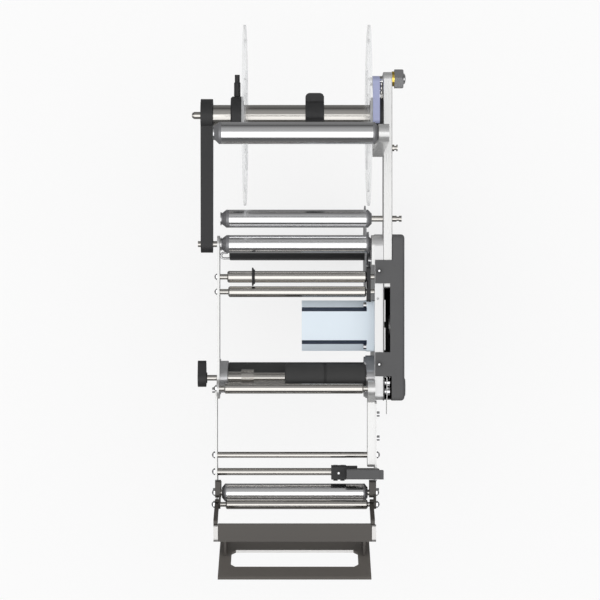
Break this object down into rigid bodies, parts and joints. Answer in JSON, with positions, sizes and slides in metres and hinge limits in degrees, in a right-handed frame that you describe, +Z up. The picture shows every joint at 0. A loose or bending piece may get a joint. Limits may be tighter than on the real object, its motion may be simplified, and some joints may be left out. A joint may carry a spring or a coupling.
{
  "type": "label applicator head",
  "caption": "Label applicator head: reel with clear discs, sprung dancer, guide rollers, motor-driven nip, waste rewinder and tilting peel beak on a side plate.",
  "frame": {"origin": "centre of the four-hole stand pattern, on the main plate's raised stand pad", "axes": "+X along the rollers towards the drive side, +Y from the peel beak towards the reel, +Z up"},
  "size_m": [0.358, 0.9049, 0.675],
  "materials": {
    "plate_alu": "fine machined, clear anodised",
    "bar_alu": "clear anodised",
    "steel": "ground steel",
    "bright_steel": "bright zinc or nickel plated",
    "roller_alu": "satin turned",
    "black_plastic": "fine moulded grain",
    "black_paint": "satin black",
    "cover_paint": "textured dark grey powder coat",
    "dark_anodised": "dark bronze anodised",
    "motor_paint": "pale blue enamel",
    "lilac_anodised": "lilac anodised",
    "rubber": "ground black rubber",
    "brass": "plain",
    "clear_acrylic": "clear cast sheet",
    "grey_housing": "bead blasted",
    "sensor_grey": "moulded housing",
    "belt_rubber": "flat drive belt"
  },
  "bodies": {
    "frame": {"main_plate": "plate_alu", "reel_column": "bar_alu", "inner_bracket": "bar_alu", "left_bar": "bar_alu", "right_arm": "bar_alu", "peel_side_plates": "bar_alu", "fixed_shafts": "steel", "dome_nuts": "bright_steel", "socket_screws": "bright_steel", "edge_guide": "black_plastic", "drive_cover": "cover_paint", "connector_panel": "bar_alu", "panel_sockets": "bright_steel", "drive_motor": "motor_paint", "drive_belts": "belt_rubber", "ball_bearings": "bright_steel", "bearing_housings": "grey_housing", "brake_adjuster": "bright_steel", "brake_washer": "brass", "brake_spring": "steel", "peel_side_blocks": "dark_anodised"},
    "reel": {"reel_mandrel": "steel", "inner_reel_disc": "clear_acrylic", "core_adapter": "black_plastic", "brake_drum": "black_paint"},
    "outer_disc": {"outer_reel_disc": "clear_acrylic", "clamp_hub": "black_plastic"},
    "hub_knob": {"hub_knob": "black_plastic"},
    "outboard_arm": {"outboard_arm": "black_paint"},
    "brake_lever": {"brake_lever": "lilac_anodised"},
    "dancer": {"dancer_arm": "bar_alu", "dancer_spindles": "steel"},
    "dancer_roller": {"dancer_roller": "roller_alu"},
    "rear_guide_roller": {"rear_guide_roller": "roller_alu"},
    "centre_guide_roller": {"centre_guide_roller": "roller_alu"},
    "upper_steel_roller": {"upper_steel_roller": "steel", "guide_collar": "black_plastic"},
    "lower_steel_roller": {"lower_steel_roller": "steel"},
    "front_steel_roller": {"front_steel_roller": "steel"},
    "motor_rotor": {"motor_pulley": "bar_alu"},
    "traction_roller": {"traction_roller": "rubber", "traction_pulley": "bar_alu"},
    "nip_spindle": {"nip_spindle": "steel", "nip_lever": "black_plastic"},
    "pressure_roller": {"pressure_shaft": "steel", "pressure_sleeves": "rubber"},
    "rewinder": {"rewind_mandrel": "black_paint", "rewind_flange": "grey_housing", "rewind_pulley": "bar_alu"},
    "rewind_clip": {"rewind_clip": "bright_steel"},
    "label_sensor": {"sensor_holder": "black_plastic", "label_sensor": "sensor_grey", "sensor_screw": "bright_steel"},
    "peel_guide_roller": {"peel_guide_roller": "roller_alu"},
    "peel_steel_roller": {"peel_steel_roller": "steel"},
    "peel_unit": {"tilt_arms": "dark_anodised", "cheek_lugs": "bar_alu", "peel_bar": "dark_anodised", "peel_plate": "dark_anodised"}
  },
  "joints": [
    {"name": "reel_spin", "type": "hinge", "parent": "frame", "child": "reel", "pos_m": [-0.14, 0.4175, 0.18], "axis": [1, 0, 0], "continuous": true},
    {"name": "outer_disc_slide", "type": "slide", "parent": "reel", "child": "outer_disc", "axis": [1, 0, 0], "range_m": [-0.028, 0.09]},
    {"name": "hub_knob_turn", "type": "hinge", "parent": "outer_disc", "child": "hub_knob", "pos_m": [-0.2445, 0.4175, 0.18], "axis": [0, 1, 0], "range_deg": [-180, 180]},
    {"name": "outboard_arm_swing", "type": "hinge", "parent": "frame", "child": "outboard_arm", "pos_m": [-0.295, 0.2032, 0.18], "axis": [1, 0, 0], "range_deg": [0, 95]},
    {"name": "brake_lever_swing", "type": "hinge", "parent": "frame", "child": "brake_lever", "pos_m": [-0.013, 0.4743, 0.18], "axis": [1, 0, 0], "range_deg": [-6, 0]},
    {"name": "dancer_swing", "type": "hinge", "parent": "frame", "child": "dancer", "pos_m": [-0.01, 0.3635, 0.18], "axis": [1, 0, 0], "range_deg": [-20, 40], "stiffness_Nm_per_rad": 8},
    {"name": "dancer_roller_spin", "type": "hinge", "parent": "dancer", "child": "dancer_roller", "pos_m": [-0.14, 0.367, 0.46], "axis": [1, 0, 0], "continuous": true},
    {"name": "rear_guide_spin", "type": "hinge", "parent": "frame", "child": "rear_guide_roller", "pos_m": [-0.14, 0.2455, 0.18], "axis": [1, 0, 0], "continuous": true},
    {"name": "centre_guide_spin", "type": "hinge", "parent": "frame", "child": "centre_guide_roller", "pos_m": [-0.14, 0.2032, 0.18], "axis": [1, 0, 0], "continuous": true},
    {"name": "upper_steel_spin", "type": "hinge", "parent": "frame", "child": "upper_steel_roller", "pos_m": [-0.14, 0.1487, 0.18], "axis": [1, 0, 0], "continuous": true},
    {"name": "lower_steel_spin", "type": "hinge", "parent": "frame", "child": "lower_steel_roller", "pos_m": [-0.14, 0.1238, 0.18], "axis": [1, 0, 0], "continuous": true},
    {"name": "front_steel_spin", "type": "hinge", "parent": "frame", "child": "front_steel_roller", "pos_m": [-0.14, -0.036, 0.21], "axis": [1, 0, 0], "continuous": true},
    {"name": "traction_spin", "type": "hinge", "parent": "frame", "child": "traction_roller", "pos_m": [-0.14, -0.0195, 0.1315], "axis": [1, 0, 0], "continuous": true},
    {"name": "motor_spin", "type": "hinge", "parent": "frame", "child": "motor_rotor", "pos_m": [-0.14, 0.067, 0.132], "axis": [1, 0, 0], "continuous": true},
    {"name": "nip_lever_turn", "type": "hinge", "parent": "frame", "child": "nip_spindle", "pos_m": [-0.295, -0.0195, 0.183], "axis": [1, 0, 0], "range_deg": [0, 90]},
    {"name": "pressure_spin", "type": "hinge", "parent": "nip_spindle", "child": "pressure_roller", "pos_m": [-0.14, -0.0195, 0.18], "axis": [1, 0, 0], "continuous": true},
    {"name": "rewind_spin", "type": "hinge", "parent": "frame", "child": "rewinder", "pos_m": [-0.14, 0.202, -0.12], "axis": [1, 0, 0], "continuous": true},
    {"name": "rewind_clip_pull", "type": "slide", "parent": "rewinder", "child": "rewind_clip", "axis": [1, 0, 0], "range_m": [-0.242, 0]},
    {"name": "sensor_slide", "type": "slide", "parent": "frame", "child": "label_sensor", "axis": [1, 0, 0], "range_m": [-0.175, 0.012]},
    {"name": "peel_guide_spin", "type": "hinge", "parent": "frame", "child": "peel_guide_roller", "pos_m": [-0.14, -0.2108, 0.18], "axis": [1, 0, 0], "continuous": true},
    {"name": "peel_steel_spin", "type": "hinge", "parent": "frame", "child": "peel_steel_roller", "pos_m": [-0.14, -0.2288, 0.199], "axis": [1, 0, 0], "continuous": true},
    {"name": "peel_tilt", "type": "hinge", "parent": "frame", "child": "peel_unit", "pos_m": [-0.277, -0.2288, 0.199], "axis": [1, 0, 0], "range_deg": [-15, 60]}
  ],
  "couplings": [
    {"joint": "motor_spin", "follows": "traction_spin", "ratio": 1.5},
    {"joint": "pressure_spin", "follows": "traction_spin", "ratio": -1.0338},
    {"joint": "rewind_spin", "follows": "traction_spin", "ratio": 2.087}
  ]
}
